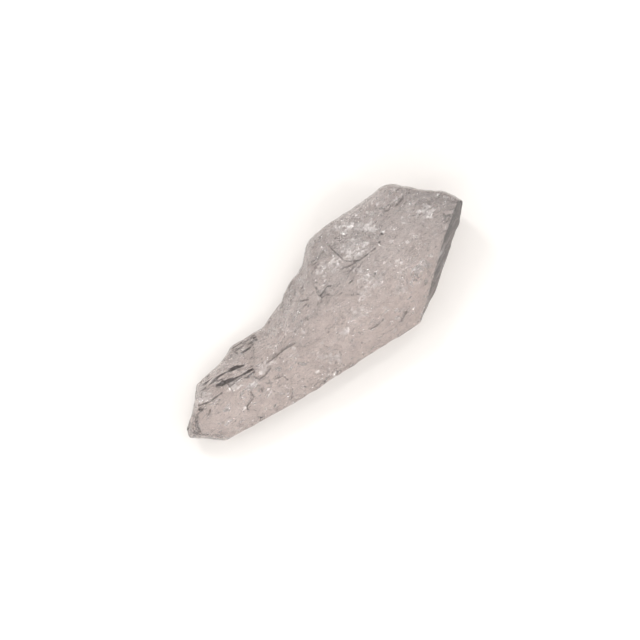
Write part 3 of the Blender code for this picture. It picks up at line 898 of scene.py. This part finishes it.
@dataclass
class Threads:
    """Thin bright ribbons just under the surface, where chips and inner cracks end."""

    name: str = "inner_threads"
    width: float = 0.075
    flatness: float = 0.35
    depth: float = 0.30
    step: float = 0.12
    wander: float = 0.22
    marks: Marks = field(default_factory=Marks)

    def build(self, stone: bpy.types.Object) -> bpy.types.Object:
        """Lay the ribbons along the marks.

        Args:
            stone: The finished stone, whose surface they follow.

        Returns:
            The finished piece.
        """
        threads = guide_lines(self.name, self.marks.threads)
        recipe = Recipe("laid_threads")
        width = recipe.size("Width", self.width * MM)
        flatness = recipe.size("Flatness", self.flatness)
        depth = recipe.size("Depth", self.depth * MM)
        step = recipe.size("Step", self.step * MM)
        wander = recipe.size("Wander", self.wander)
        surface = recipe.guide("Stone", stone)
        where = recipe.node("GeometryNodeInputPosition")
        place = recipe.scaled(where, 1.0 / MM)
        curves = recipe.node("GeometryNodeMeshToCurve", values={"Mesh": recipe.geometry})
        fine = recipe.node(
            "GeometryNodeResampleCurve", {"mode": "LENGTH"}, {"Curve": curves, "Length": step},
        )
        bend = recipe.vector("SUBTRACT", recipe.stray(place, 1.6, 3.0, 1.0), place)
        moved = recipe.scaled(recipe.vector("MULTIPLY", bend, (MM, MM, 0.0)), wander)
        fine = recipe.node("GeometryNodeSetPosition", values={"Geometry": fine, "Offset": moved})
        above = recipe.vector("ADD", where, (0.0, 0.0, 20.0 * MM))
        hit = recipe.node(
            "GeometryNodeRaycast",
            values={
                "Target Geometry": surface, "Source Position": above,
                "Ray Direction": (0.0, 0.0, -1.0), "Ray Length": 30.0 * MM,
            },
            output="Hit Position",
        )
        below = recipe.vector("SUBTRACT", hit, recipe.node("ShaderNodeCombineXYZ", values={2: depth}))
        laid = recipe.node(
            "GeometryNodeSetPosition", values={"Geometry": fine, "Position": below},
        )
        flat = recipe.node("GeometryNodeSetCurveNormal", {"mode": "Z_UP"}, {"Curve": laid})
        share = recipe.node("GeometryNodeSplineParameter")
        taper = (share.between(0.0, 0.3) * share.between(1.0, 0.7)) * 0.8 + 0.2
        beads = recipe.noise(place, 2.2, 8.0, 2.0).between(0.35, 0.65) * 0.9 + 0.35
        ring = recipe.node(
            "GeometryNodeCurvePrimitiveCircle", {"mode": "RADIUS"}, {"Resolution": 6, "Radius": 1.0},
        )
        squeeze = recipe.node("ShaderNodeCombineXYZ", values={0: flatness, 1: 1.0, 2: 1.0})
        ribbon = recipe.node("GeometryNodeTransform", values={"Geometry": ring, "Scale": squeeze})
        thickness = width * taper * beads
        tube = recipe.node(
            "GeometryNodeCurveToMesh",
            values={"Curve": flat, "Profile Curve": ribbon, "Scale": thickness, "Fill Caps": True},
        )
        recipe.run(tube, Feather().make(), threads)
        return threads


@dataclass(frozen=True)
class PaleGround:
    """Finish of the ground: matt warm white."""

    colour: Colour = (0.93, 0.905, 0.88)

    def make(self) -> bpy.types.Material:
        """Build the material."""
        material = bpy.data.materials.new("pale_ground")
        material.use_nodes = True
        shader = material.node_tree.nodes["Principled BSDF"]
        shader.inputs["Base Color"].default_value = (*self.colour, 1.0)
        shader.inputs["Roughness"].default_value = 1.0
        shader.inputs["Specular IOR Level"].default_value = 0.0
        return material


@dataclass
class Studio:
    """Pale ground, a soft bright dome that is darker low down, and softboxes. Sizes in metres."""

    ground_width: float = 6.0
    ground_drop: float = 0.00002
    dome_high: float = 1.35
    dome_low: float = 0.10
    dome_colour: Colour = (1.0, 0.985, 0.97)
    # Softboxes: place right, up and above in the picture, width, and power in watts
    boxes: dict[str, tuple[tuple[float, float, float], float, float]] = field(default_factory=lambda: {
        "key_box": ((-0.22, 0.28, 0.42), 0.10, 0.45),
        "back_box": ((0.12, 0.26, 0.46), 0.025, 0.10),
        "right_box": ((0.30, -0.02, 0.36), 0.025, 0.10),
        "low_box": ((-0.05, -0.26, 0.42), 0.025, 0.10),
        "left_box": ((-0.30, -0.06, 0.40), 0.025, 0.10),
    })

    def build(self, turn: float) -> list[bpy.types.Object]:
        """Set up the ground, the dome and the softboxes.

        Args:
            turn: How far the picture is turned from the stone's axes, in degrees.

        Returns:
            The objects that aren't part of the stone.
        """
        made = [self._ground()]
        self._dome()
        for name, (place, width, power) in self.boxes.items():
            made.append(self._box(name, in_picture(place, turn), width, power))
        return made

    def _ground(self) -> bpy.types.Object:
        """A wide square of ground just under the stone."""
        sheet = bmesh.new()
        bmesh.ops.create_grid(sheet, x_segments=1, y_segments=1, size=self.ground_width / 2.0)
        bmesh.ops.translate(sheet, verts=sheet.verts[:], vec=(0.0, 0.0, -self.ground_drop))
        mesh = bpy.data.meshes.new("ground")
        sheet.to_mesh(mesh)
        sheet.free()
        mesh.materials.append(PaleGround().make())
        return new_object("ground", mesh)

    def _dome(self) -> None:
        """A pale world that lights the stone from above and less from the sides."""
        world = bpy.data.worlds.new("dome")
        world.use_nodes = True
        sketch = Sketch(world.node_tree)
        direction = sketch.node("ShaderNodeTexCoord", output="Generated")
        _, _, height = sketch.parts(direction)
        glow = self.dome_low + height.between(0.0, 0.9) * (self.dome_high - self.dome_low)
        seen = sketch.node("ShaderNodeLightPath", output="Is Camera Ray")
        back = world.node_tree.nodes["Background"]
        back.inputs["Color"].default_value = (*self.dome_colour, 1.0)
        sketch.feed(back.inputs["Strength"], glow + seen * (1.0 - glow))
        bpy.context.scene.world = world

    def _box(self, name: str, place: Vector, width: float, power: float) -> bpy.types.Object:
        """A square softbox that looks at the stone.

        Args:
            name: Name of the light.
            place: Where it stands.
            width: Its side.
            power: Its power in watts.

        Returns:
            The light.
        """
        light = bpy.data.lights.new(name, "AREA")
        light.shape = "SQUARE"
        light.size = width
        light.energy = power
        box = bpy.data.objects.new(name, light)
        bpy.context.scene.collection.objects.link(box)
        box.location = place
        box.rotation_euler = (-place).to_track_quat("-Z", "Y").to_euler()
        return box


def in_picture(place: tuple[float, float, float], turn: float) -> Vector:
    """Turn a place given as right, up and above in the picture into the stone's axes."""
    return Matrix.Rotation(math.radians(-turn), 3, "Z") @ Vector(place)


@dataclass
class Camera:
    """Looks straight down on the stone. Sizes in metres."""

    turn: float = 31.1
    height: float = 0.5
    picture_width: float = 0.064
    # The picture's middle, right of and above the stone's middle
    middle: tuple[float, float, float] = (0.00025, -0.00131, 0.0)
    sensor: float = 36.0
    focus_height: float = 0.004

    def build(self) -> bpy.types.Object:
        """Place the camera and make it the scene's."""
        lens = bpy.data.cameras.new("camera")
        lens.sensor_width = self.sensor
        lens.lens = self.sensor * (self.height - self.focus_height) / self.picture_width
        lens.clip_start = 0.01
        camera = bpy.data.objects.new("camera", lens)
        bpy.context.scene.collection.objects.link(camera)
        camera.location = in_picture(self.middle, self.turn) + Vector((0.0, 0.0, self.height))
        camera.rotation_euler = (0.0, 0.0, math.radians(-self.turn))
        bpy.context.scene.camera = camera
        return camera


def main() -> None:
    """Dress the stone and set up its picture."""
    logging.basicConfig(level=logging.INFO, format="%(message)s")
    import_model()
    stone = Crystal().build()
    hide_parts("crystal")
    for piece in (stone, Flakes().build(stone), Threads().build(stone)):
        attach(piece, "root")
        LOG.info("%s: %d faces", piece.name, len(piece.data.polygons))
    camera = Camera()
    camera.build()
    for thing in Studio().build(camera.turn):
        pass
    bpy.context.scene.view_settings.view_transform = "Standard"


if __name__ == "__main__":
    main()
